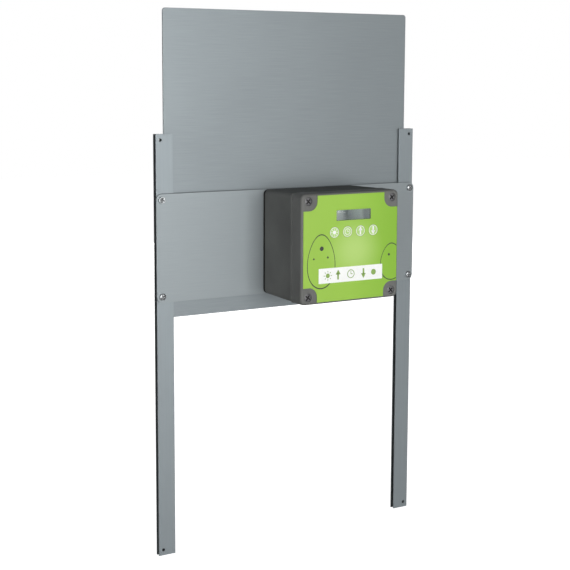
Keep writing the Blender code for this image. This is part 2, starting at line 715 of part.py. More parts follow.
# ---------------------------------------------------------------- batteries
def coil_mesh(centres, radius, sides):
    """A bmesh tube round a list of centre points, with flat ends."""
    bm = bmesh.new()
    rings = []
    for i, centre in enumerate(centres):
        ahead = centres[min(i + 1, len(centres) - 1)] - centres[max(i - 1, 0)]
        ahead.normalize()
        across = Vector((0, 0, 1)).cross(ahead).normalized()
        over = ahead.cross(across)
        ring = []
        for k in range(sides):
            a = 2 * math.pi * k / sides
            ring.append(bm.verts.new(centre + radius * (across * math.cos(a) + over * math.sin(a))))
        rings.append(ring)
    for ring, following in zip(rings, rings[1:]):
        add_band(bm, ring, following)
    bm.faces.new(rings[0][::-1])
    bm.faces.new(rings[-1])
    return bm


def battery_holder():
    """Open tray for four AA cells laid one above the other."""
    hx, hy = TRAY[0] / 2, TRAY[1] / 2
    back = BASE_FLOOR + GAP
    wall = 0.0013
    bm = bmesh.new()
    add_prism(bm, rounded_rectangle(hx, hy, 0.0015, 3), back, back + TRAY[2])
    black = finish("battery_holder", (0.03, 0.03, 0.03), 0.5)
    made = piece("battery_holder", bm, black, (*TRAY_CENTRE, 0))
    bm = bmesh.new()
    add_block(bm, (wall - hx, wall - hy, back + 0.0015), (hx - wall, hy - wall, back + TRAY[2] + 0.001))
    cut(made, bm)


def battery_cells():
    """Four AA cells, alternate ways round, each with a coil spring at its flat end."""
    out = BASE_FLOOR + GAP + 0.0015 + GAP + CELL_R
    inner = TRAY[0] / 2 - 0.0013
    nub = 0.0012
    body = CELL_LENGTH - nub
    profile = [
        (0, 0), (CELL_R - 0.0006, 0), (CELL_R, 0.0006), (CELL_R, body - 0.0008),
        (CELL_R - 0.0008, body), (0.0026, body), (0.0026, CELL_LENGTH), (0, CELL_LENGTH),
    ]
    coils = []
    for i in range(31):
        a = 2 * math.pi * i / 12
        reach = 0.0046 - 0.0022 * i / 30
        coils.append(Vector((reach * math.cos(a), reach * math.sin(a), 0.0022 * i / 30)))
    for number in range(4):
        height = TRAY_CENTRE[1] + (1.5 - number) * CELL_PITCH
        sign = 1 if number % 2 == 0 else -1
        facing = FACING_RIGHT if sign > 0 else FACING_LEFT
        bm = bmesh.new()
        add_turned(bm, profile, 20)
        start = TRAY_CENTRE[0] + sign * (inner - GAP - CELL_LENGTH)
        name = f"battery_cell_{number + 1}"
        piece(name, bm, finish(name, (0.05, 0.16, 0.34), 0.35, 0.6), (start, height, out), facing)
        name = f"battery_spring_{number + 1}"
        at = TRAY_CENTRE[0] - sign * (inner - GAP - 0.0004)
        piece(name, coil_mesh(coils, 0.0003, 5), finish(name, STEEL, 0.3, 1.0), (at, height, out), facing)


battery_holder()
battery_cells()

# ---------------------------------------------------------------- lifting drive
CHEEK = 0.0015
CHEEK_LEFT = DRUM_LEFT - 0.0030
CHEEK_RIGHT = DRUM_RIGHT + 0.0018
CHEEK_LOW, CHEEK_HIGH = 0.354, 0.398
BRACKET_LOW, BRACKET_HIGH = 0.3465, 0.4070
BRACKET_REACH = 0.050
GEARBOX_LOW, GEARBOX_HIGH = 0.364, 0.410
GEARBOX_HALF_DEPTH = 0.016
GEARBOX_WIDTH = 0.025
GEARBOX_SCREW_Z = 0.392
GEARBOX_SCREW_HALF = 0.010
MOTOR_R = 0.0122
MOTOR_LENGTH = 0.0308
SHAFT_IN_GEARBOX = 0.0085


def turn_to_right(bm):
    """Turns a body built along local Z so that it lies along X."""
    bmesh.ops.rotate(bm, cent=(0, 0, 0), matrix=Matrix.Rotation(math.radians(90), 3, "Y"), verts=bm.verts)


def drive_bracket():
    """Bent steel U that carries the gearbox on its left cheek and the drum's bush in its right one."""
    back = BASE_FLOOR + GAP
    left, right = CHEEK_LEFT - CHEEK, CHEEK_RIGHT + CHEEK
    bm = bmesh.new()
    add_block(bm, (left, CHEEK_LOW, back), (right, CHEEK_HIGH, BRACKET_REACH))
    made = piece("drive_bracket", bm, finish("drive_bracket", STEEL, 0.4, 1.0))
    bm = bmesh.new()
    inside = (CHEEK_RIGHT, CHEEK_HIGH + 0.001, BRACKET_REACH + 0.001)
    add_block(bm, (CHEEK_LEFT, CHEEK_LOW - 0.001, back + CHEEK), inside)
    cut(made, bm)
    bm = bmesh.new()
    tab = (CHEEK_RIGHT - 0.002, BRACKET_HIGH, back + CHEEK)
    add_block(bm, (CHEEK_LEFT + 0.002, BRACKET_LOW, back), tab)
    join(made, bm)
    bm = bmesh.new()
    for z in BRACKET_SCREWS_Z:
        add_rod(bm, 0.0018, back - 0.001, back + 0.003, 12, (BRACKET_SCREW_X, z))
    cut(made, bm)
    bm = bmesh.new()
    add_rod(bm, 0.0042, left - 0.001, CHEEK_LEFT + 0.001, 20)
    add_rod(bm, 0.0053, CHEEK_RIGHT - 0.001, right + 0.001, 20)
    turn_to_right(bm)
    bmesh.ops.translate(bm, vec=(0, DRUM_Z, DRUM_OUT), verts=bm.verts)
    cut(made, bm)
    bm = bmesh.new()
    for side in (-1, 1):
        add_rod(bm, 0.0017, left - 0.001, CHEEK_LEFT + 0.001, 12, (side * GEARBOX_SCREW_HALF, 0))
    turn_to_right(bm)
    bmesh.ops.translate(bm, vec=(0, GEARBOX_SCREW_Z, DRUM_OUT), verts=bm.verts)
    cut(made, bm)
    for number, z in enumerate(BRACKET_SCREWS_Z, 1):
        place = (BRACKET_SCREW_X, z, back + CHEEK + GAP)
        pan_screw(f"bracket_screw_{number}", 0.003, 0.0019, 0.0014, 0.0040, place, segments=14)


def gear_motor():
    """Self-locking gearbox with the motor standing on it; the drum's shaft turns in its bore."""
    right = CHEEK_LEFT - CHEEK - GAP
    middle = right - GEARBOX_WIDTH / 2
    height = GEARBOX_HIGH - GEARBOX_LOW
    bm = bmesh.new()
    outline = rounded_rectangle(GEARBOX_HALF_DEPTH, height / 2, 0.003, 3)
    add_prism(bm, outline, 0, GEARBOX_WIDTH)
    casting = finish("gearbox", (0.62, 0.62, 0.60), 0.45, 1.0)
    made = piece("gearbox", bm, casting, (right, GEARBOX_LOW + height / 2, DRUM_OUT), FACING_LEFT)
    axis_y = DRUM_Z - GEARBOX_LOW - height / 2
    bm = bmesh.new()
    add_rod(bm, SHAFT_R + 0.00015, -0.001, SHAFT_IN_GEARBOX + 0.0005, 20, (0, axis_y))
    for side in (-1, 1):
        screw_y = GEARBOX_SCREW_Z - GEARBOX_LOW - height / 2
        add_rod(bm, 0.0016, -0.001, 0.006, 12, (side * GEARBOX_SCREW_HALF, screw_y))
    cut(made, bm)
    for number, side in enumerate((-1, 1), 1):
        place = (CHEEK_LEFT + GAP, GEARBOX_SCREW_Z, DRUM_OUT + side * GEARBOX_SCREW_HALF)
        pan_screw(f"gearbox_screw_{number}", 0.0027, 0.0016, 0.0013, 0.0062, place, FACING_RIGHT, segments=14)

    bm = bmesh.new()
    cap = MOTOR_LENGTH + 0.0018
    can = [
        (0, 0), (MOTOR_R - 0.0010, 0), (MOTOR_R, 0.0010), (MOTOR_R, MOTOR_LENGTH - 0.0012),
        (MOTOR_R - 0.0012, MOTOR_LENGTH), (0.0050, MOTOR_LENGTH), (0.0046, cap), (0, cap),
    ]
    add_turned(bm, can, 28)
    foot = (middle, GEARBOX_HIGH + GAP, DRUM_OUT)
    piece("motor", bm, finish("motor", STEEL, 0.3, 1.0), foot, FACING_UP)
    return right


def drum(gearbox_right):
    """Flanged drum fixed on its shaft, with the bush that carries the shaft's free end."""
    half = DRUM_INNER_WIDTH / 2
    bore = SHAFT_R + 0.00015
    end = half + DRUM_FLANGE
    middle = (DRUM_X, DRUM_Z, DRUM_OUT)
    profile = [
        (bore, -end), (DRUM_FLANGE_R, -end), (DRUM_FLANGE_R, -half), (DRUM_HUB_R, -half),
        (DRUM_HUB_R, half), (DRUM_FLANGE_R, half), (DRUM_FLANGE_R, end), (bore, end),
    ]
    bm = bmesh.new()
    add_turned(bm, profile, 28)
    piece("cord_drum", bm, finish("cord_drum", (0.82, 0.82, 0.80), 0.5), middle, FACING_RIGHT)

    shaft_left = gearbox_right - SHAFT_IN_GEARBOX
    shaft_right = CHEEK_RIGHT + CHEEK + 0.0012
    bm = bmesh.new()
    add_rod(bm, SHAFT_R, shaft_left - DRUM_X, shaft_right - DRUM_X, 20)
    piece("drum_shaft", bm, finish("drum_shaft", STEEL, 0.25, 1.0), middle, FACING_RIGHT)

    flange_right = CHEEK_RIGHT - GAP
    bush_end = CHEEK_RIGHT + CHEEK + 0.0008
    flange_left = flange_right - 0.0011
    bush = [
        (bore, flange_left), (0.0066, flange_left), (0.0066, flange_right),
        (0.0050, flange_right), (0.0050, bush_end), (bore, bush_end),
    ]
    bm = bmesh.new()
    add_turned(bm, [(r, x - DRUM_X) for r, x in bush], 20)
    piece("drum_bush", bm, finish("drum_bush", (0.55, 0.38, 0.14), 0.4, 1.0), middle, FACING_RIGHT)


def cord():
    """The turns on the drum, the straight drop to the shutter, and the bush where it leaves the box."""
    steps = 18
    centres = []
    for i in range(int(CORD_TURNS * steps) + 1):
        a = 2 * math.pi * i / steps
        along = CORD_PITCH * i / steps
        centres.append(Vector((-CORD_COIL_R * math.cos(a), CORD_COIL_R * math.sin(a), along)))
    bm = coil_mesh(centres, CORD_R, 6)
    # The coil's own axis turns to -X, so the turns lie to the left of the drop.
    turn = Matrix(((0, 0, -1), (0, 1, 0), (1, 0, 0)))
    bmesh.ops.transform(bm, matrix=turn.to_4x4(), verts=bm.verts)
    piece("cord_winding", bm, finish("cord_winding", BRAID, 0.85), (CORD_X, DRUM_Z, DRUM_OUT))

    bm = bmesh.new()
    add_rod(bm, CORD_R, 0, DRUM_Z - GAP - KNOT_TOP_Z - GAP, 10)
    foot = (CORD_X, KNOT_TOP_Z + GAP, CORD_OUT)
    piece("lift_cord", bm, finish("lift_cord", BRAID, 0.85), foot, FACING_UP)

    flange_top = BOX_Z - BASE_BACK[1] - 0.0006
    profile = [
        (0.0017, -0.0014), (0.0058, -0.0014), (0.0062, -0.0008), (0.0062, 0),
        (0.0040, 0), (0.0040, 0.0055), (0.0022, 0.0055), (0.0017, 0.0048),
    ]
    bm = bmesh.new()
    add_turned(bm, profile, 20)
    white = finish("cord_guide", (0.85, 0.85, 0.83), 0.4)
    piece("cord_guide", bm, white, (CORD_X, flange_top, CORD_OUT), FACING_UP)


drive_bracket()
drum(gear_motor())
cord()
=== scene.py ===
import math

import bmesh
import bpy
from mathutils import Matrix, Vector


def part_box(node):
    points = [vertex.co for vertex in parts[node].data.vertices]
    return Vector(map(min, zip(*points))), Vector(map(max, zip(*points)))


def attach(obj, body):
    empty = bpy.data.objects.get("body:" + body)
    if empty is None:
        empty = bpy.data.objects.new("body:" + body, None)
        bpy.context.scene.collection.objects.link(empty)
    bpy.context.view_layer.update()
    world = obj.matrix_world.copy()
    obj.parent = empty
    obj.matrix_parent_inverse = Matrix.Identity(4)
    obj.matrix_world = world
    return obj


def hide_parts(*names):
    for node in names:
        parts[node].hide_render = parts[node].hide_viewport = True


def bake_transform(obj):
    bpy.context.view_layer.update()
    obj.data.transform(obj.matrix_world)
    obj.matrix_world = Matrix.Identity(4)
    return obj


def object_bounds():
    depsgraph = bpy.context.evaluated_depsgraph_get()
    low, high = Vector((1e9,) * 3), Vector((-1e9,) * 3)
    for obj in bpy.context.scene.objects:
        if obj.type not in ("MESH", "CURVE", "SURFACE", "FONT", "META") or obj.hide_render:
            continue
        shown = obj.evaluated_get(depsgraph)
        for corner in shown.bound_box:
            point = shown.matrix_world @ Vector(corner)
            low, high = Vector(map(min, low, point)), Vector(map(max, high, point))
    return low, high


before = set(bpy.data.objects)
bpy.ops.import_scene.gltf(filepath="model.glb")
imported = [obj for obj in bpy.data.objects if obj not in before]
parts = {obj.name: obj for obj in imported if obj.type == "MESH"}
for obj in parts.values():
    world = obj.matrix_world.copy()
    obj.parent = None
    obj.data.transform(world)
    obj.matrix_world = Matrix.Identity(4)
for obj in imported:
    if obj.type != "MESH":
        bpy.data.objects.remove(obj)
cad_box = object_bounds()

# ---------------------------------------------------------------- camera, light and floor
# A product picture: the object stands on a plain white floor in a light tent, seen from the left
# and from a little above. The tent is bright in front and dim overhead and behind, and one large
# softbox in front gives the sheets their slow fade from left to right. Another lights the back.
scene = bpy.context.scene
scene.view_settings.view_transform = "Standard"

camera_lens = bpy.data.cameras.new("camera")
camera_lens.lens = 82.9
camera_lens.sensor_width = 36.0
camera_lens.shift_y = -0.07
camera = bpy.data.objects.new("camera", camera_lens)
camera_turn = Matrix.Rotation(math.radians(-31.0), 4, "Z")
camera_turn = camera_turn @ Matrix.Rotation(math.radians(90 - 7.5), 4, "X")
camera_turn = camera_turn @ Matrix.Rotation(math.radians(0.24), 4, "Z")
camera.matrix_world = Matrix.Translation((-0.925, -1.531, 0.639)) @ camera_turn
scene.collection.objects.link(camera)
scene.camera = camera


def node(tree, kind, sockets=None, **settings):
    """Adds a shader node, with its settings and with a value or a link for each named socket."""
    made = tree.nodes.new("ShaderNode" + kind)
    for name, value in settings.items():
        setattr(made, name, value)
    for name, value in (sockets or {}).items():
        if isinstance(value, bpy.types.NodeSocket):
            tree.links.new(value, made.inputs[name])
        else:
            made.inputs[name].default_value = value
    return made


def ramp(tree, factor, *stops):
    """Adds a colour ramp through the given (position, grey or colour) stops and returns its colour."""
    made = node(tree, "ValToRGB", {"Fac": factor})
    band = made.color_ramp.elements
    while len(band) < len(stops):
        band.new(0.5)
    for element, (position, colour) in zip(band, stops):
        element.position = position
        element.color = (*colour, 1) if isinstance(colour, tuple) else (colour, colour, colour, 1)
    return made.outputs["Color"]


def softbox(name, place, aim, size, watts):
    lamp = bpy.data.lights.new(name, "AREA")
    lamp.size = size
    lamp.energy = watts
    holder = bpy.data.objects.new(name, lamp)
    holder.location = place
    holder.rotation_euler = (Vector(aim) - Vector(place)).to_track_quat("-Z", "Y").to_euler()
    scene.collection.objects.link(holder)


tent = bpy.data.worlds.new("light_tent")
tent.use_nodes = True
tree = tent.node_tree
tree.nodes.clear()
direction = node(tree, "TexCoord").outputs["Generated"]
side = node(tree, "SeparateXYZ", {"Vector": direction})
level = node(tree, "MapRange", {"Value": side.outputs["Z"], "From Min": -1.0,
                                "From Max": 1.0}).outputs["Result"]
rearward = node(tree, "MapRange", {"Value": side.outputs["Y"], "From Min": -0.05, "From Max": 0.45,
                                   "To Min": 1.05, "To Max": 0.12}).outputs["Result"]
tent_light = ramp(tree, level, (0.0, 0.34), (0.40, 0.43), (0.54, 0.56), (0.64, 0.13), (0.8, 0.0))
seen = node(tree, "LightPath").outputs["Is Camera Ray"]
backdrop = node(tree, "Background", {"Color": (1, 1, 1, 1), "Strength": 1.0})
glow = node(tree, "Background", {"Color": tent_light, "Strength": rearward})
either = node(tree, "MixShader", {0: seen, 1: glow.outputs[0], 2: backdrop.outputs[0]})
node(tree, "OutputWorld", {"Surface": either.outputs[0]})
scene.world = tent

softbox("softbox_front", (-0.35, -3.0, 0.50), (0.0, 0.0, 0.45), 2.2, 93)
softbox("softbox_left", (-2.3, -2.1, 0.40), (0.0, -0.05, 0.45), 1.4, 22)
softbox("softbox_back", (0.9, 3.0, 0.5), (0.0, 0.0, 0.4), 2.2, 80)

bpy.ops.object.select_all(action="DESELECT")
bpy.ops.mesh.primitive_plane_add(size=12, location=(0, 0, cad_box[0][2] - 0.0005))
floor = bpy.context.object
floor.name = "floor"
paper = bpy.data.materials.new("floor_paper")
paper.use_nodes = True
tree = paper.node_tree
shader = tree.nodes["Principled BSDF"]
shader.inputs["Base Color"].default_value = (0.62, 0.62, 0.62, 1)
shader.inputs["Roughness"].default_value = 0.9
seen = node(tree, "LightPath").outputs["Is Camera Ray"]
white = node(tree, "Emission", {"Color": (1, 1, 1, 1), "Strength": 1.0})
lit = node(tree, "AddShader", {0: shader.outputs[0], 1: white.outputs[0]})
either = node(tree, "MixShader", {0: seen, 1: shader.outputs[0], 2: lit.outputs[0]})
below = node(tree, "NewGeometry").outputs["Backfacing"]
through = node(tree, "BsdfTransparent")
one_sided = node(tree, "MixShader", {0: below, 1: either.outputs[0], 2: through.outputs[0]})
tree.links.new(one_sided.outputs[0], tree.nodes["Material Output"].inputs["Surface"])
floor.data.materials.append(paper)

# ---------------------------------------------------------------- rails
# Two extruded aluminium profiles, sawn to length and anodised. The shutter runs in the groove on
# their inner side, and screws through the hole at each end hold them to the wall. Shade is painted
# into the finish inside the grooves.


def grain_group():
    """Fine parallel lines from rolling, brushing or extrusion, with broad clouds and a few scratches.
    The pattern runs along the direction whose scale is smallest."""
    group = bpy.data.node_groups.new("metal_grain", "ShaderNodeTree")
    socket = group.interface.new_socket
    socket("Vector", in_out="INPUT", socket_type="NodeSocketVector")
    socket("Line Scale", in_out="INPUT", socket_type="NodeSocketVector")
    socket("Cloud Scale", in_out="INPUT", socket_type="NodeSocketFloat")
    socket("Lines", in_out="OUTPUT", socket_type="NodeSocketFloat")
    socket("Clouds", in_out="OUTPUT", socket_type="NodeSocketFloat")
    socket("Scratches", in_out="OUTPUT", socket_type="NodeSocketFloat")
    given = group.nodes.new("NodeGroupInput").outputs
    stretched = node(group, "VectorMath", {0: given["Vector"], 1: given["Line Scale"]}, operation="MULTIPLY")
    fine = node(group, "TexNoise", {"Vector": stretched.outputs[0], "Scale": 1.0, "Detail": 3.0})
    wide = node(group, "TexNoise", {"Vector": given["Vector"], "Scale": given["Cloud Scale"], "Detail": 2.0})
    slanted = node(group, "Mapping", {"Vector": stretched.outputs[0], "Rotation": (0.1, 0.25, 0.15),
                                      "Scale": (0.33, 0.33, 0.33)})
    marks = node(group, "TexNoise", {"Vector": slanted.outputs[0], "Scale": 1.0, "Detail": 6.0,
                                     "Roughness": 0.7})
    thin = node(group, "MapRange", {"Value": marks.outputs[0], "From Min": 0.66, "From Max": 0.74})
    out = node(group, "MapRange", {"Value": fine.outputs[0], "From Min": 0.3, "From Max": 0.7})
    clouds = node(group, "MapRange", {"Value": wide.outputs[0], "From Min": 0.3, "From Max": 0.7})
    end = group.nodes.new("NodeGroupOutput")
    group.links.new(out.outputs[0], end.inputs["Lines"])
    group.links.new(clouds.outputs[0], end.inputs["Clouds"])
    group.links.new(thin.outputs[0], end.inputs["Scratches"])
    return group


metal_grain = grain_group()


def grained_metal(name, light, dark, roughness, line_scale, line_depth, cloud_scale=9.0, metallic=1.0):
    """A metal whose colour, roughness and surface follow its grain; an oxide coat makes it less metallic."""
    made = bpy.data.materials.new(name)
    made.use_nodes = True
    tree = made.node_tree
    shader = tree.nodes["Principled BSDF"]
    shader.inputs["Metallic"].default_value = metallic
    place = node(tree, "TexCoord").outputs["Object"]
    grain = node(tree, "Group", node_tree=metal_grain)
    tree.links.new(place, grain.inputs["Vector"])
    grain.inputs["Line Scale"].default_value = line_scale
    grain.inputs["Cloud Scale"].default_value = cloud_scale
    lines, clouds, scratches = grain.outputs["Lines"], grain.outputs["Clouds"], grain.outputs["Scratches"]
    part = node(tree, "Math", {0: lines, 1: 0.55}, operation="MULTIPLY").outputs[0]
    both = node(tree, "Math", {0: clouds, 1: 0.45, 2: part}, operation="MULTIPLY_ADD").outputs[0]
    colour = ramp(tree, both, (0.2, dark), (0.8, light))
    bright = tuple(min(1.0, c * 1.12) for c in light)
    worn = node(tree, "MixRGB", {0: scratches, 1: colour, 2: (*bright, 1)})
    tree.links.new(worn.outputs[0], shader.inputs["Base Color"])
    rough = node(tree, "MapRange", {"Value": both, "To Min": roughness + 0.06, "To Max": roughness - 0.05})
    tree.links.new(rough.outputs[0], shader.inputs["Roughness"])
    bump = node(tree, "Bump", {"Height": lines, "Strength": 0.5, "Distance": line_depth})
    tree.links.new(bump.outputs[0], shader.inputs["Normal"])
    return made


def paint_shade(finish, axis, plane, clean, dark, kept):
    """Paints shade into a finish: dims it between two distances from a plane across the axis."""
    tree = finish.node_tree
    colour = tree.nodes["Principled BSDF"].inputs["Base Color"]
    painted = colour.links[0].from_socket
    place = node(tree, "SeparateXYZ", {"Vector": node(tree, "TexCoord").outputs["Object"]}).outputs[axis]
    offset = node(tree, "Math", {0: place, 1: plane}, operation="SUBTRACT").outputs[0]
    away = node(tree, "Math", {0: offset}, operation="ABSOLUTE").outputs[0]
    share = node(tree, "MapRange", {"Value": away, "From Min": clean, "From Max": dark, "To Min": 1.0,
                                    "To Max": kept}).outputs["Result"]
    dimmed = node(tree, "VectorMath", {0: painted, 1: share}, operation="MULTIPLY").outputs[0]
    tree.links.new(dimmed, colour)


def only(piece):
    """Selects one piece alone and makes it the active one."""
    bpy.ops.object.select_all(action="DESELECT")
    piece.select_set(True)
    bpy.context.view_layer.objects.active = piece


def softened(name, body, radius, finish, segments=2, edge_angle=28):
    """The CAD piece with its sharp edges broken to a small radius, riding in its place."""
    piece = bpy.data.objects.new(name + "_finished", parts[name].data.copy())
    scene.collection.objects.link(piece)
    only(piece)
    bpy.ops.object.mode_set(mode="EDIT")
    bpy.ops.mesh.select_all(action="SELECT")
    bpy.ops.mesh.remove_doubles(threshold=0.000002)
    bpy.ops.mesh.dissolve_limited(angle_limit=math.radians(0.6))
    bpy.ops.object.mode_set(mode="OBJECT")
    edge = piece.modifiers.new("edge", "BEVEL")
    edge.width = radius
    edge.segments = segments
    edge.limit_method = "ANGLE"
    edge.angle_limit = math.radians(edge_angle)
    bpy.ops.object.modifier_apply(modifier="edge")
    bpy.ops.object.shade_smooth_by_angle(angle=math.radians(50))
    flat = piece.modifiers.new("flat", "WEIGHTED_NORMAL")
    flat.weight = 100
    flat.keep_sharp = True
    bpy.ops.object.modifier_apply(modifier="flat")
    piece.data.materials.clear()
    piece.data.materials.append(finish)
    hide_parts(name)
    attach(piece, body)
    return piece


oxide_coat = 0.65  # how metallic anodised or weathered aluminium still looks
rail_light, rail_dark = (0.336, 0.378, 0.400), (0.318, 0.357, 0.377)
rail_metal = grained_metal("anodised_extrusion", rail_light, rail_dark, 0.50, (900, 900, 6), 0.000004,
                           metallic=oxide_coat)
low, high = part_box("rail_left")
rail_middle = (low.y + high.y) / 2
groove_half_depth = 0.0024
# Painted shade: the finish darkens inside the grooves.
paint_shade(rail_metal, "Y", rail_middle, groove_half_depth + 0.0002, groove_half_depth, 0.28)
for name in ("rail_left", "rail_right"):
    rail = softened(name, "frame", 0.0002, rail_metal)

# ---------------------------------------------------------------- shutter
# One sheared aluminium sheet with rounded corners. Its rolling lines lie across it. It hangs on the
# cord by a bent steel angle riveted near its lower edge.
sheet_light, sheet_dark = (0.306, 0.343, 0.360), (0.282, 0.316, 0.332)
shutter_metal = grained_metal("rolled_sheet", sheet_light, sheet_dark, 0.48, (22, 500, 1500), 0.000012,
                              7.0, oxide_coat)
shutter = softened("door_panel", "door", 0.0003, shutter_metal, 3)

zinc = grained_metal("zinc_plate", (0.74, 0.75, 0.76), (0.56, 0.58, 0.60), 0.30, (700, 700, 700), 0.00001,
                     120.0)
bent_angle = softened("cord_anchor", "door", 0.0002, zinc)
rivet_metal = grained_metal("rivet_metal", (0.75, 0.76, 0.77), (0.60, 0.62, 0.64), 0.32, (600, 600, 600),
                            0.00001, 90.0)
for name in ("anchor_rivet_1", "anchor_rivet_2"):
    rivet = softened(name, "door", 0.00012, rivet_metal)

# ---------------------------------------------------------------- lifting cord
# A thin braided cord, dark grey. It winds on the drum inside the box, drops through a bush in the
# box's floor and ends in an overhand knot below the steel angle.
braid_radius = 0.00095


def braided(name):
    """Braided thread: crossed slanting strands that follow the cord's own length and girth."""
    made = bpy.data.materials.new(name)
    made.use_nodes = True
    tree = made.node_tree
    shader = tree.nodes["Principled BSDF"]
    shader.inputs["Roughness"].default_value = 0.85
    shader.inputs["Sheen Weight"].default_value = 0.2
    along = node(tree, "UVMap", uv_map="along").outputs[0]
    strands = []
    for lean in (1, -1):
        slope = node(tree, "Mapping", {"Vector": along, "Rotation": (0, 0, lean * math.radians(45))})
        wave = node(tree, "TexWave", {"Vector": slope.outputs[0], "Scale": 4.0, "Distortion": 0.6},
                    wave_type="BANDS", bands_direction="X")
        strands.append(wave.outputs["Fac"])
    weave = node(tree, "Math", {0: strands[0], 1: strands[1]}, operation="MAXIMUM").outputs[0]
    colour = ramp(tree, weave, (0.2, (0.035, 0.035, 0.04)), (0.9, (0.14, 0.14, 0.15)))
    tree.links.new(colour, shader.inputs["Base Color"])
    bump = node(tree, "Bump", {"Height": weave, "Strength": 0.8, "Distance": 0.0002})
    tree.links.new(bump.outputs[0], shader.inputs["Normal"])
    return made


def cord_along(name, points, radius, sides, finish, cyclic=False):
    """A round cord through the points, with UVs that count its length and its girth in radii."""
    mesh = bpy.data.meshes.new(name)
    bm = bmesh.new()
    layer = bm.loops.layers.uv.new("along")
    rings = []
    count = len(points)
    across = None
    for i, point in enumerate(points):
        ahead = points[(i + 1) % count] if cyclic or i + 1 < count else point
        behind = points[i - 1] if cyclic or i > 0 else point
        forward = (ahead - behind).normalized()
        if across is None:
            across = forward.orthogonal()
        across = (across - forward * across.dot(forward)).normalized()
        over = forward.cross(across)
        rings.append([bm.verts.new(point + radius * (across * math.cos(a) + over * math.sin(a)))
                      for a in (2 * math.pi * k / sides for k in range(sides))])
    reach = 0.0
    for i in range(count if cyclic else count - 1):
        step = (points[(i + 1) % count] - points[i]).length / radius
        for k in range(sides):
            corners = (rings[i][k], rings[i][(k + 1) % sides], rings[(i + 1) % count][(k + 1) % sides],
                       rings[(i + 1) % count][k])
            face = bm.faces.new(corners)
            turn, following = 6.0 * k / sides, 6.0 * (k + 1) / sides
            for loop, place in zip(face.loops, ((reach, turn), (reach, following), (reach + step, following),
                                                (reach + step, turn))):
                loop[layer].uv = place
        reach += step
    if not cyclic:
        bm.faces.new(rings[0][::-1])
        bm.faces.new(rings[-1])
    bm.to_mesh(mesh)
    bm.free()
    mesh.shade_smooth()
    mesh.materials.append(finish)
    made = bpy.data.objects.new(name, mesh)
    scene.collection.objects.link(made)
    return made


braid = braided("dark_braid")
low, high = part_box("lift_cord")
drop_x, drop_y = (low.x + high.x) / 2, (low.y + high.y) / 2
drop_steps = 120
drop = [Vector((drop_x, drop_y, low.z + (high.z - low.z) * i / drop_steps)) for i in range(drop_steps + 1)]
lift_cord = cord_along("lift_cord_braided", drop, braid_radius, 12, braid)
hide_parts("lift_cord")
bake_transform(lift_cord)

low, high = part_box("cord_winding")
turns = 5.5
coil_radius = 0.0109
pitch = (high.x - low.x - 2 * braid_radius) / turns
middle = (low + high) / 2
coil = []
for i in range(int(turns * 32) + 1):
    a = 2 * math.pi * i / 32
    around = coil_radius * Vector((0, math.cos(a), math.sin(a)))
    coil.append(Vector((drop_x - pitch * i / 32, middle.y, middle.z)) + around)
winding = cord_along("cord_winding_braided", coil, braid_radius, 8, braid)
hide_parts("cord_winding")
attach(winding, "drum")

low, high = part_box("cord_knot")
middle = (low + high) / 2
knot_line = []
knot_points = 96
knot_size = 0.00068
for i in range(knot_points):
    t = 2 * math.pi * i / knot_points
    trefoil = Vector((math.sin(t) + 2 * math.sin(2 * t), math.cos(t) - 2 * math.cos(2 * t),
                      -math.sin(3 * t)))
    knot_line.append(middle + knot_size * trefoil)
knot = cord_along("cord_knot_tied", knot_line, 0.0009, 10, braid, cyclic=True)
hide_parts("cord_knot")
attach(knot, "door")

# ---------------------------------------------------------------- mounting plate
# A second aluminium sheet that ties the rails together. It is anodised smooth, so its rolling lines
# hardly show, and shade is painted along its top edge. Four pan-head steel screws hold it to square
# nuts in the rails' outer grooves.
plate_light, plate_dark = (0.346, 0.384, 0.400), (0.336, 0.373, 0.389)
plate_metal = grained_metal("anodised_sheet", plate_light, plate_dark, 0.50, (24, 300, 1400), 0.000004,
                            6.0, oxide_coat)
plate_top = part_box("mounting_plate")[1].z
# Painted shade along the plate's top edge.
paint_shade(plate_metal, "Z", 0.0, plate_top - 0.0006, plate_top - 0.0002, 0.35)
plate = softened("mounting_plate", "frame", 0.0003, plate_metal, 3)


def moulded(name, colour, roughness, grain_depth=0.00006, grain_scale=2600.0, gloss=0.5):
    """Moulded plastic: fine even texture, a slight change of shade and a faint bloom of dust."""
    made = bpy.data.materials.new(name)
    made.use_nodes = True
    tree = made.node_tree
    shader = tree.nodes["Principled BSDF"]
    place = node(tree, "TexCoord").outputs["Object"]
    broad = node(tree, "TexNoise", {"Vector": place, "Scale": 14.0, "Detail": 3.0}).outputs[0]
    fine = node(tree, "TexNoise", {"Vector": place, "Scale": grain_scale, "Detail": 2.0}).outputs[0]
    dark = tuple(c * 0.86 for c in colour)
    light = tuple(c * 1.14 + 0.004 for c in colour)
    tree.links.new(ramp(tree, broad, (0.3, dark), (0.7, light)), shader.inputs["Base Color"])
    rough = node(tree, "MapRange", {"Value": fine, "To Min": roughness - 0.08, "To Max": roughness + 0.10})
    tree.links.new(rough.outputs[0], shader.inputs["Roughness"])
    bump = node(tree, "Bump", {"Height": fine, "Strength": 0.5, "Distance": grain_depth})
    tree.links.new(bump.outputs[0], shader.inputs["Normal"])
    shader.inputs["Specular IOR Level"].default_value = gloss
    return made


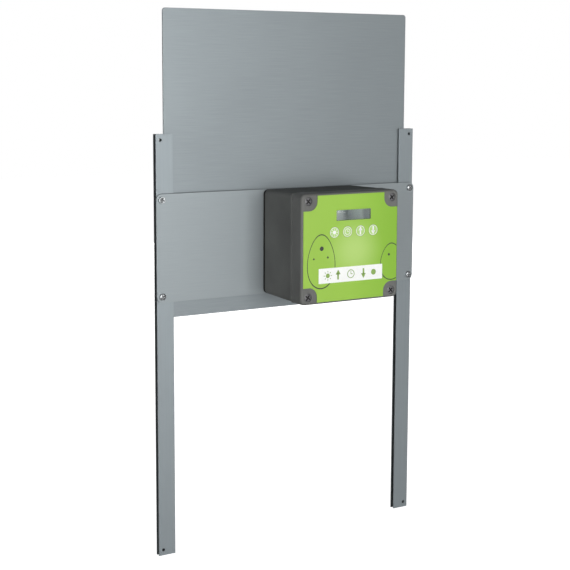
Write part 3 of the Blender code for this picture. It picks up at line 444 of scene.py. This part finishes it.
def machined_screw(name, head_radius, head_height, crown, turn, finish, recess, body):
    """Cylinder for the head, crowned by insets, a cross sunk into it, and a thinner shank behind it."""
    low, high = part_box(name)
    x, z = (low.x + high.x) / 2, (low.z + high.z) / 2
    bpy.ops.object.select_all(action="DESELECT")
    bpy.ops.mesh.primitive_cylinder_add(
        vertices=40, radius=head_radius, depth=head_height, end_fill_type="NGON",
        location=(x, low.y + head_height / 2, z), rotation=(math.radians(90), 0, 0),
    )
    screw = bpy.context.object
    screw.name = name + "_turned"
    screw.data.materials.append(finish)
    bpy.ops.object.transform_apply(location=True, rotation=True, scale=True)
    for end in ("front", "back"):
        bpy.ops.object.mode_set(mode="OBJECT")
        for polygon in screw.data.polygons:
            polygon.select = polygon.normal.y < -0.9 if end == "front" else polygon.normal.y > 0.9
        bpy.ops.object.mode_set(mode="EDIT")
        bpy.ops.mesh.select_mode(type="FACE")
        if end == "front":
            bpy.ops.transform.translate(value=(0, crown, 0))
            for inset, rise in ((0.16, 0.62), (0.20, 0.28), (0.22, 0.10)):
                bpy.ops.mesh.inset(thickness=head_radius * inset, depth=0)
                bpy.ops.transform.translate(value=(0, -crown * rise, 0))
        else:
            bpy.ops.mesh.inset(thickness=head_radius - screw_shank_radius, depth=0)
            shank = (0, high.y - low.y - head_height, 0)
            bpy.ops.mesh.extrude_region_move(TRANSFORM_OT_translate={"value": shank})
    bpy.ops.object.mode_set(mode="OBJECT")
    bpy.ops.object.select_all(action="DESELECT")
    arms = []
    for quarter in (0, 90):
        bpy.ops.mesh.primitive_cube_add(size=1, location=(x, low.y, z),
                                        scale=(head_radius * 1.55, head_height * 1.3, head_radius * 0.34))
        arm = bpy.context.object
        # The sunk cross takes the recess finish, which paints shade into it.
        arm.data.materials.append(recess)
        arm.rotation_euler = (0, math.radians(turn + quarter), 0)
        bpy.ops.object.transform_apply(location=True, rotation=True, scale=True)
        arms.append(arm)
    for arm in arms:
        only(screw)
        sink = screw.modifiers.new("sink", "BOOLEAN")
        sink.object = arm
        sink.solver = "EXACT"
        sink.material_mode = "TRANSFER"
        bpy.ops.object.modifier_apply(modifier="sink")
        bpy.data.objects.remove(arm)
    only(screw)
    edge = screw.modifiers.new("edge", "BEVEL")
    edge.width = head_radius * 0.035
    edge.segments = 2
    edge.limit_method = "ANGLE"
    edge.angle_limit = math.radians(40)
    bpy.ops.object.modifier_apply(modifier="edge")
    bpy.ops.object.shade_smooth_by_angle(angle=math.radians(40))
    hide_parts(name)
    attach(screw, body)
    return screw


screw_shank_radius = 0.0019
# Painted shade: the black finish in the lid screws' sunk crosses.
recess_shade = moulded("recess_painted_shade", (0.006, 0.006, 0.006), 0.75)
# Painted shade: a darkened steel grey in the plate screws' sunk crosses.
steel_recess_shade = moulded("steel_recess_painted_shade", (0.16, 0.168, 0.174), 0.6)
bright_screw = grained_metal("bright_steel", (0.52, 0.54, 0.55), (0.40, 0.42, 0.43), 0.44, (900, 900, 900),
                             0.000006, 200.0)
for number, turn in enumerate((20, -35, 60, 8), 1):
    machined_screw(f"plate_screw_{number}", 0.0045, 0.0028, 0.0011, turn, bright_screw, steel_recess_shade,
                   "frame")
for number in range(1, 5):
    nut = softened(f"rail_nut_{number}", "frame", 0.0002, zinc)

# ---------------------------------------------------------------- control box
# Two deep mouldings in dark grey plastic with a fine spark-eroded texture: the tub that is screwed to
# the plate, with a collar round its rim, and the lid. A rubber cord seals the joint between them. A
# band of painted shade runs round the tub where it meets the plate.
housing = moulded("housing_plastic", (0.130, 0.134, 0.129), 0.80, gloss=0.12)
tub_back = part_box("box_base")[1].y
painted_shade_band = 0.0047
# Painted shade in a band round the back of the tub, where it meets the plate.
paint_shade(housing, "Y", tub_back, painted_shade_band + 0.0007, painted_shade_band, 0.10)
tub = softened("box_base", "frame", 0.0006, housing, 3, 40)
lid_plastic = moulded("lid_plastic", (0.134, 0.136, 0.130), 0.50, gloss=0.25)
lid = softened("box_lid", "frame", 0.0003, lid_plastic, 2, 40)
seal = softened("lid_seal", "frame", 0.0002, moulded("seal_rubber", (0.012, 0.012, 0.012), 0.7))
for number in range(1, 5):
    screw = softened(f"box_screw_{number}", "frame", 0.0001, bright_screw)

head_plastic = moulded("screw_plastic", (0.120, 0.119, 0.124), 0.36, 0.00002)
for number, turn in enumerate((42, 52, 34, 48), 1):
    machined_screw(f"lid_screw_{number}", 0.0052, 0.0027, 0.0007, turn, head_plastic, recess_shade,
                   "frame")

# ---------------------------------------------------------------- front foil
# A printed plastic foil glued to the lid, notched round the lid screws. The green fades lightly
# across it. White and dark inks lie on it: a plain panel, egg outlines and simple day and night signs.
ink = 0.00004
foil_low, foil_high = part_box("keypad_foil")
foil_front = foil_low.y
foil_face = foil_front + ink


def printed_foil(name):
    """Satin green print whose colour is darker towards the right, with a painted sheen pale in the middle,
    under a lightly textured film.
    """
    made = bpy.data.materials.new(name)
    made.use_nodes = True
    tree = made.node_tree
    shader = tree.nodes["Principled BSDF"]
    shader.inputs["Roughness"].default_value = 0.36
    place = node(tree, "TexCoord").outputs["Object"]
    middle = (foil_low + foil_high) / 2
    sheen_middle = middle + Vector((0.006, 0, -0.004))
    across = node(tree, "SeparateXYZ", {"Vector": place}).outputs["X"]
    span = node(tree, "MapRange", {"Value": across, "From Min": foil_low.x,
                                   "From Max": foil_high.x}).outputs[0]
    wash = node(tree, "TexNoise", {"Vector": place, "Scale": 16.0, "Detail": 2.0}).outputs[0]
    drift = node(tree, "Math", {0: wash, 1: 0.10, 2: span}, operation="MULTIPLY_ADD").outputs[0]
    green = ramp(tree, drift, (0.05, (0.325, 0.545, 0.075)), (0.55, (0.320, 0.555, 0.070)),
                 (1.0, (0.255, 0.490, 0.045)))
    # Painted sheen: the green turns pale towards a point just off the foil's middle.
    away = node(tree, "VectorMath", {0: place, 1: tuple(sheen_middle)}, operation="DISTANCE").outputs["Value"]
    nearness = node(tree, "MapRange", {"Value": away, "From Min": 0.050, "From Max": 0.004},
                    interpolation_type="SMOOTHSTEP").outputs["Result"]
    pale = node(tree, "MixRGB", {0: nearness, 1: green, 2: (0.450, 0.660, 0.180, 1)}).outputs[0]
    tree.links.new(pale, shader.inputs["Base Color"])
    film = node(tree, "TexNoise", {"Vector": place, "Scale": 3000.0, "Detail": 1.0}).outputs[0]
    bump = node(tree, "Bump", {"Height": film, "Strength": 0.25, "Distance": 0.00002})
    tree.links.new(bump.outputs[0], shader.inputs["Normal"])
    return made


def printing_ink(name, colour, roughness=0.42):
    """Opaque ink with the slight unevenness of a printed coat."""
    made = bpy.data.materials.new(name)
    made.use_nodes = True
    tree = made.node_tree
    shader = tree.nodes["Principled BSDF"]
    shader.inputs["Roughness"].default_value = roughness
    place = node(tree, "TexCoord").outputs["Object"]
    coat = node(tree, "TexNoise", {"Vector": place, "Scale": 900.0, "Detail": 2.0}).outputs[0]
    tone = ramp(tree, coat, (0.3, tuple(c * 0.94 for c in colour)), (0.7, colour))
    tree.links.new(tone, shader.inputs["Base Color"])
    return made


foil = softened("keypad_foil", "frame", 0.00004, printed_foil("green_print"), 1)
for vertex in foil.data.vertices:
    if vertex.co.y < foil_front + 0.0001:
        vertex.co.y += ink


def disc(x, z, radius, corners=48, turn=0.0):
    facing = (math.radians(90), math.radians(turn), 0)
    bpy.ops.mesh.primitive_circle_add(vertices=corners, radius=radius, fill_type="NGON",
                                      location=(x, foil_face, z), rotation=facing)
    return bpy.context.object


def bar(x, z, length, width, turn=0.0):
    facing = (math.radians(90), math.radians(turn), 0)
    bpy.ops.mesh.primitive_plane_add(size=1, location=(x, foil_face, z), rotation=facing)
    bpy.context.object.scale = (length, width, 1)
    return bpy.context.object


def ring(x, z, radius, width):
    """A disc whose middle is taken out after an inset."""
    made = disc(x, z, radius, 64)
    only(made)
    bpy.ops.object.mode_set(mode="EDIT")
    bpy.ops.mesh.select_mode(type="FACE")
    bpy.ops.mesh.select_all(action="SELECT")
    bpy.ops.mesh.inset(thickness=width, depth=0)
    bpy.ops.mesh.delete(type="FACE")
    bpy.ops.object.mode_set(mode="OBJECT")
    return made


def print_on(name, shapes, finish, body, front):
    """Joins flat shapes and gives them the thickness of a coat of ink, ending at the front plane."""
    bpy.ops.object.select_all(action="DESELECT")
    for shape in shapes:
        shape.select_set(True)
    bpy.context.view_layer.objects.active = shapes[0]
    bpy.ops.object.transform_apply(location=True, rotation=True, scale=True)
    if len(shapes) > 1:
        bpy.ops.object.join()
    made = bpy.context.object
    made.name = name
    bpy.ops.object.mode_set(mode="EDIT")
    bpy.ops.mesh.select_all(action="SELECT")
    bpy.ops.mesh.extrude_region_move(TRANSFORM_OT_translate={"value": (0, front - foil_face, 0)})
    bpy.ops.mesh.select_all(action="SELECT")
    bpy.ops.mesh.normals_make_consistent(inside=False)
    bpy.ops.object.mode_set(mode="OBJECT")
    made.data.materials.clear()
    made.data.materials.append(finish)
    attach(made, body)
    return made


def egg_outline(name, x, z, half_width, half_height, width, cut_right=None):
    """A thin dark line in the shape of an egg, blunt end down; it may run off the foil's right edge."""
    made = ring(0, 0, 1.0, width / half_width)
    bpy.ops.object.transform_apply(location=True, rotation=True, scale=True)
    for vertex in made.data.vertices:
        up = vertex.co.z
        taper = 1.0 - 0.16 * up
        vertex.co = Vector((x + vertex.co.x * half_width * taper, foil_face, z + up * half_height))
    if cut_right is not None:
        only(made)
        bpy.ops.object.mode_set(mode="EDIT")
        bpy.ops.mesh.select_all(action="SELECT")
        bpy.ops.mesh.bisect(plane_co=(cut_right, 0, 0), plane_no=(1, 0, 0), clear_outer=True)
        bpy.ops.object.mode_set(mode="OBJECT")
    return print_on(name, [made], dark_ink, "frame", foil_face - ink / 2)


dark_ink = printing_ink("dark_ink", (0.045, 0.052, 0.045))
white_ink = printing_ink("white_ink", (0.94, 0.95, 0.93))
green_ink = printing_ink("green_ink", (0.26, 0.42, 0.10))
line = 0.0009
egg_outline("egg_line_left", -0.0185, 0.3960, 0.0215, 0.0360, line)
egg_outline("egg_line_right", 0.0925, 0.3890, 0.0180, 0.0252, line, foil_high.x - 0.0006)
speckles = [disc(x, z, r, 24) for x, z, r in ((-0.0180, 0.4130, 0.0030), (-0.0085, 0.4010, 0.0014),
                                              (-0.0300, 0.4000, 0.0013), (0.0885, 0.3985, 0.0017))]
print_on("egg_speckles", speckles, dark_ink, "frame", foil_face - ink / 2)

panel_x, panel_z = 0.0277, 0.37685
panel = bar(panel_x, panel_z, 0.1002, 0.0197)
print_on("white_panel", [panel], white_ink, "frame", foil_face - 0.8 * ink)


def arrow(x, z, size, up):
    """A shaft and a three-cornered head that points up or down."""
    sign = 1 if up else -1
    head = disc(x, z + sign * 0.22 * size, 0.34 * size, 3, 0 if up else 180)
    return [bar(x, z - sign * 0.16 * size, 0.20 * size, 0.62 * size), head]


def sun(x, z, size):
    """A disc with eight short rays round it."""
    rays = []
    for i in range(8):
        a = math.pi * i / 4
        out_x, out_z = 0.42 * size * math.cos(a), 0.42 * size * math.sin(a)
        rays.append(bar(x + out_x, z + out_z, 0.16 * size, 0.07 * size, -math.degrees(a)))
    return [disc(x, z, 0.24 * size), *rays]


def clock(x, z, size):
    """A ring with two hands."""
    return [ring(x, z, 0.45 * size, 0.08 * size), bar(x, z + 0.14 * size, 0.07 * size, 0.30 * size),
            bar(x + 0.10 * size, z, 0.24 * size, 0.07 * size)]


sign_size = 0.0128
signs = sun(panel_x - 0.036, panel_z, sign_size) + arrow(panel_x - 0.020, panel_z, sign_size, True)
signs += clock(panel_x, panel_z, sign_size)
signs += arrow(panel_x + 0.020, panel_z, sign_size, False)
signs += [disc(panel_x + 0.036, panel_z, 0.30 * sign_size)]
print_on("panel_signs", signs, green_ink, "frame", foil_front)

# ---------------------------------------------------------------- keys
# Four round push keys in pale green plastic, level with the foil. Each has a white rim and a white
# sign: settings, clock, up and down.
key_plastic = moulded("key_plastic", (0.44, 0.66, 0.21), 0.38, 0.00002)
for name in ("key_set", "key_clock", "key_up", "key_down"):
    low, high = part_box(name)
    x, z = (low.x + high.x) / 2, (low.z + high.z) / 2
    radius = (high.x - low.x) / 2
    cap = softened(name, name + "_cap", 0.00015, key_plastic)
    for vertex in cap.data.vertices:
        if vertex.co.y < foil_front + 0.0002:
            vertex.co.y += ink
    rim = [ring(x, z, radius * 0.96, radius * 0.10)]
    size = 0.0092
    if name == "key_set":
        marks = sun(x, z, size * 1.15)
    elif name == "key_clock":
        marks = clock(x, z, size)
    else:
        marks = arrow(x, z, size * 1.15, name == "key_up")
    print_on(name + "_sign", rim + marks, white_ink, name + "_cap", foil_front)

# ---------------------------------------------------------------- display
# A small liquid crystal panel in a black carrier, behind a clear pane that lies a little below the
# foil, so that the opening's edge throws a shadow on it. A reflection is painted into the panel's colour.
low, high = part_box("display_window")
pane_front = low.y + 0.0012
clear = bpy.data.materials.new("clear_pane")
clear.use_nodes = True
tree = clear.node_tree
shader = tree.nodes["Principled BSDF"]
shader.inputs["Transmission Weight"].default_value = 1.0
shader.inputs["IOR"].default_value = 1.45
place = node(tree, "TexCoord").outputs["Object"]
smear = node(tree, "TexNoise", {"Vector": place, "Scale": 60.0, "Detail": 4.0})
rough = node(tree, "MapRange", {"Value": smear.outputs[0], "To Min": 0.02, "To Max": 0.12})
tree.links.new(rough.outputs[0], shader.inputs["Roughness"])
pane = softened("display_window", "frame", 0.00015, clear)
for vertex in pane.data.vertices:
    vertex.co.y = pane_front + (vertex.co.y - low.y) * 0.35

crystal = bpy.data.materials.new("liquid_crystal")
crystal.use_nodes = True
tree = crystal.node_tree
shader = tree.nodes["Principled BSDF"]
shader.inputs["Roughness"].default_value = 0.22
place = node(tree, "TexCoord").outputs["Object"]
across = node(tree, "SeparateXYZ", {"Vector": place})
span = node(tree, "MapRange", {"Value": across.outputs["X"], "From Min": low.x,
                               "From Max": high.x}).outputs[0]
cloud = node(tree, "TexNoise", {"Vector": place, "Scale": 45.0, "Detail": 1.0}).outputs[0]
shade = node(tree, "Math", {0: cloud, 1: 0.25, 2: span}, operation="MULTIPLY_ADD").outputs[0]
# Painted reflection: the panel is light at the left, dark before the middle, lighter again and dark at its
# right edge.
tone = ramp(tree, shade, (0.10, (0.74, 0.82, 0.80)), (0.30, (0.56, 0.64, 0.64)), (0.46, (0.24, 0.29, 0.29)),
            (0.70, (0.46, 0.54, 0.53)), (0.90, (0.60, 0.70, 0.68)), (1.0, (0.34, 0.40, 0.40)))
tree.links.new(tone, shader.inputs["Base Color"])
bpy.ops.object.select_all(action="DESELECT")
panel_depth = 0.0022
panel_gap = 0.0014  # from the pane's front face to the panel's
panel_middle = ((low.x + high.x) / 2, pane_front + panel_gap + panel_depth / 2, (low.z + high.z) / 2)
bpy.ops.mesh.primitive_cube_add(size=1, location=panel_middle,
                                scale=(high.x - low.x, panel_depth, high.z - low.z))
glass = bpy.context.object
glass.name = "display_glass"
bpy.ops.object.transform_apply(location=True, rotation=True, scale=True)
for polygon in glass.data.polygons:
    polygon.select = polygon.normal.y < -0.9
bpy.ops.object.mode_set(mode="EDIT")
bpy.ops.mesh.select_mode(type="FACE")
bpy.ops.mesh.inset(thickness=0.0008, depth=0)
bpy.ops.transform.translate(value=(0, 0.0001, 0))
bpy.ops.object.mode_set(mode="OBJECT")
glass.data.materials.append(crystal)
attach(glass, "frame")
carrier_plastic = moulded("carrier_plastic", (0.015, 0.015, 0.015), 0.4)
carrier = softened("display_module", "frame", 0.0002, carrier_plastic)

# ---------------------------------------------------------------- inside the box
# Nothing of this shows while the lid is on: the circuit board, four cells in a tray with their
# springs, and the gear motor with the cord drum in its steel bracket.
laminate = moulded("board_laminate", (0.025, 0.13, 0.05), 0.42, 0.00001, 1500.0)
black_plastic = moulded("tray_plastic", (0.022, 0.022, 0.022), 0.5)
white_plastic = moulded("drum_plastic", (0.78, 0.78, 0.76), 0.42)
jacket = moulded("cell_jacket", (0.035, 0.11, 0.28), 0.25, 0.00001)
casting = grained_metal("cast_alloy", (0.64, 0.64, 0.63), (0.50, 0.50, 0.49), 0.48, (500, 500, 500),
                        0.00004, 60.0)
can_metal = grained_metal("motor_can", (0.74, 0.75, 0.76), (0.62, 0.63, 0.65), 0.28, (40, 40, 900),
                          0.00001, 50.0)
bronze = grained_metal("sintered_bronze", (0.58, 0.40, 0.16), (0.44, 0.29, 0.10), 0.42, (700, 700, 700),
                       0.00001, 150.0)
inner_finishes = {
    "circuit_board": (laminate, "board_laminate"),
    "battery_holder": (black_plastic, "black_plastic"),
    "cord_drum": (white_plastic, "white_plastic"),
    "cord_guide": (white_plastic, "white_plastic"),
    "gearbox": (casting, "gearbox_alloy"),
    "motor": (can_metal, "motor_can"),
    "drum_bush": (bronze, "bush_brass"),
    "drive_bracket": (zinc, "zinc_steel"),
    "drum_shaft": (bright_screw, "zinc_steel"),
}
for number in range(1, 5):
    inner_finishes[f"battery_cell_{number}"] = (jacket, "cell_jacket")
    inner_finishes[f"battery_spring_{number}"] = (bright_screw, "zinc_steel")
for number in (1, 2):
    inner_finishes[f"bracket_screw_{number}"] = (bright_screw, "zinc_steel")
    inner_finishes[f"gearbox_screw_{number}"] = (bright_screw, "zinc_steel")
    inner_finishes[f"board_screw_{number}"] = (bright_screw, "zinc_steel")
for name, (finish, slot_name) in inner_finishes.items():
    parts[name].data.materials.clear()
    parts[name].data.materials.append(finish)
